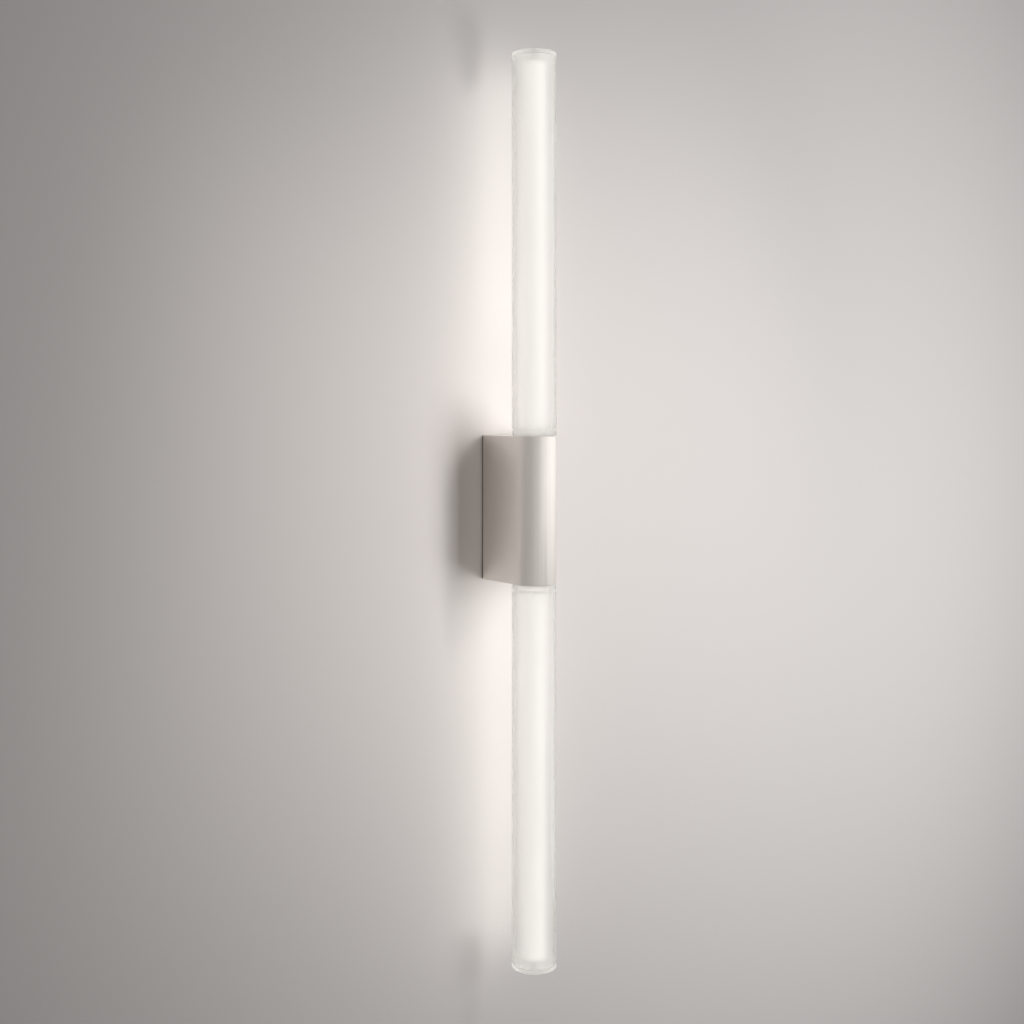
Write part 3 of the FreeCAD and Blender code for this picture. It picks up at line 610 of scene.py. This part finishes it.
wall_corners = (upright_corners(wall_width / 2, floor_level, wall_top)
                + upright_corners(opening_half_width, -opening_half_height, opening_half_height))
wall_faces = [(i, (i + 1) % 4, (i + 1) % 4 + 4, i + 4) for i in range(4)]
flat_piece("wall", wall_corners, wall_faces, one_sided("wall_paint", (0.72, 0.70, 0.69)))
floor_corners = [(-wall_width / 2, floor_front, floor_level), (wall_width / 2, floor_front, floor_level),
                 (wall_width / 2, 0, floor_level), (-wall_width / 2, 0, floor_level)]
floor = flat_piece("floor", floor_corners, [(0, 1, 2, 3)], one_sided("floor_paint", (0.72, 0.71, 0.70)))
floor.visible_diffuse = False

# The light that the tubes throw on the wall and the bracket: a row of small lamps in each tube, between
# the core and the wall side of the glass.

lamps_per_tube = 16
glow_watts = 0.0066
glow_offset = 0.0105
glow_colour = (1.0, 0.965, 0.92)
glow_radius = 0.002
tube_low, tube_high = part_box("upper_tube")
glow_lamps = []
for side in (-1, 1):
    for i in range(lamps_per_tube):
        height = tube_low.z + (tube_high.z - tube_low.z) * (i + 0.5) / lamps_per_tube
        data = bpy.data.lights.new("glow", "POINT")
        data.energy = glow_watts
        data.color = glow_colour
        data.shadow_soft_size = glow_radius
        lamp = bpy.data.objects.new("glow", data)
        lamp.location = (0, axis_y + glow_offset, side * height)
        lamp.visible_camera = lamp.visible_transmission = False
        bpy.context.scene.collection.objects.link(lamp)
        glow_lamps.append(lamp)

# The studio: soft lamps on stands. The near one gives the bracket its shadow, the main one lights the
# wall from the right, and the left one fills in. All but the rear one are out of sight.


def soft_light(name, place, target, width, height, watts, colour=(1, 1, 1), spread=180):
    """A rectangular studio light that faces the target. Its spread is in degrees."""
    data = bpy.data.lights.new(name, "AREA")
    data.shape = "RECTANGLE"
    data.size, data.size_y = width, height
    data.energy = watts
    data.color = colour
    data.spread = math.radians(spread)
    lamp = bpy.data.objects.new(name, data)
    lamp.location = place
    lamp.rotation_euler = (Vector(target) - Vector(place)).to_track_quat("-Z", "Y").to_euler()
    bpy.context.scene.collection.objects.link(lamp)
    return lamp


near = soft_light("near_light", place=(0.454, -0.728, 0.480), target=(-0.143, 0, 0.007), width=0.12,
                  height=0.33, watts=0.41, colour=(1.0, 0.95, 0.92), spread=76.5)
main = soft_light("main_light", place=(0.754, -1.140, -0.042), target=(0.311, 0, 0.226), width=0.535,
                  height=1.16, watts=11.75, colour=(1.0, 0.985, 0.98), spread=156)
left = soft_light("left_light", place=(-0.202, -0.446, 0.096), target=(0.122, 0, -0.122), width=0.6,
                  height=0.6, watts=0.33, colour=(1.0, 0.90, 0.84), spread=94.6)
soft_light("rear_light", place=(0, 1.6, 0.2), target=(0, 0, 0), width=1.2, height=1.2, watts=2.5)
floor_light = soft_light("floor_light", place=(0, -2.0, 1.6), target=(0, -2.0, floor_level), width=3.0,
                         height=3.0, watts=90)
for lamp in (near, main, left, floor_light):
    lamp.visible_camera = lamp.visible_glossy = False

# What each lamp lights: the lit tubes outshine the studio lamps, which neither light them nor take their
# shadow. Only the solid ends of the cores leave a faint mark on the wall. The floor has its own lamp.

lit = bpy.data.collections.new("lit_tubes")
clear_of_shadow = bpy.data.collections.new("shadowless_tubes")
for node in ("upper_tube", "lower_tube", "upper_diffuser", "lower_diffuser", "upper_end_cap",
             "lower_end_cap", "upper_tube_socket", "lower_tube_socket", "tube_seals", "socket_seals",
             "upper_core_plug", "lower_core_plug", "led_spine", "upper_led_strips", "lower_led_strips"):
    lit.objects.link(nodes[node])
    if "plug" not in node:
        clear_of_shadow.objects.link(nodes[node])
for group in (lit, clear_of_shadow):
    for member in group.collection_objects:
        member.light_linking.link_state = "EXCLUDE"
for lamp in [near, main, left] + glow_lamps:
    lamp.light_linking.receiver_collection = lit
for lamp in (near, main, left):
    lamp.light_linking.blocker_collection = clear_of_shadow
ground = bpy.data.collections.new("ground")
ground.objects.link(floor)
floor_light.light_linking.receiver_collection = ground

# The room: a faint, even fill from all round. Metal and glass show it as pale walls that grow brighter
# towards the soft light on the right.

room = bpy.data.worlds.new("room")
bpy.context.scene.world = room
room.use_nodes = True
tree = room.node_tree
fill = tree.nodes["Background"]
fill.inputs["Color"].default_value = (0.84, 0.76, 0.70, 1)
fill.inputs["Strength"].default_value = 0.015
direction = tree.nodes.new("ShaderNodeTexCoord")
parts = tree.nodes.new("ShaderNodeSeparateXYZ")
tree.links.new(direction.outputs["Generated"], parts.inputs["Vector"])
walls = tree.nodes.new("ShaderNodeBackground")
rightward = between(tree, parts.outputs["X"], low=0, high=1, spread=(-0.7, 0.5))
tree.links.new(tinted(tree, rightward, dark=(0.34, 0.327, 0.316), light=(1.0, 0.985, 0.97), spread=(0, 1)),
               walls.inputs["Color"])
walls.inputs["Strength"].default_value = 1.29
backdrop = tree.nodes.new("ShaderNodeBackground")
backdrop.inputs["Color"].default_value = (0.80, 0.78, 0.77, 1)
path = tree.nodes.new("ShaderNodeLightPath")
seen = tree.nodes.new("ShaderNodeMath")
seen.operation = "MAXIMUM"
tree.links.new(path.outputs["Is Glossy Ray"], seen.inputs[0])
tree.links.new(path.outputs["Is Transmission Ray"], seen.inputs[1])
shown = tree.nodes.new("ShaderNodeMixShader")
tree.links.new(seen.outputs["Value"], shown.inputs["Fac"])
tree.links.new(fill.outputs["Background"], shown.inputs[1])
tree.links.new(walls.outputs["Background"], shown.inputs[2])
behind = tree.nodes.new("ShaderNodeMixShader")
tree.links.new(path.outputs["Is Camera Ray"], behind.inputs["Fac"])
tree.links.new(shown.outputs["Shader"], behind.inputs[1])
tree.links.new(backdrop.outputs["Background"], behind.inputs[2])
tree.links.new(behind.outputs["Shader"], tree.nodes["World Output"].inputs["Surface"])

# The camera: it stands to the left and a little above the middle of the light and looks level, with its
# frame shifted down, so that upright edges stay upright.

camera_data = bpy.data.cameras.new("camera")
camera_data.sensor_width = 36
camera_data.lens = 48.18
camera_data.shift_y = -0.1143
camera = bpy.data.objects.new("camera", camera_data)
camera.location = (-0.8045, -1.0564, 0.1075)
camera.rotation_euler = (math.radians(90), 0, math.radians(-37.822))
bpy.context.scene.collection.objects.link(camera)
bpy.context.scene.camera = camera
bpy.context.scene.view_settings.view_transform = "Standard"
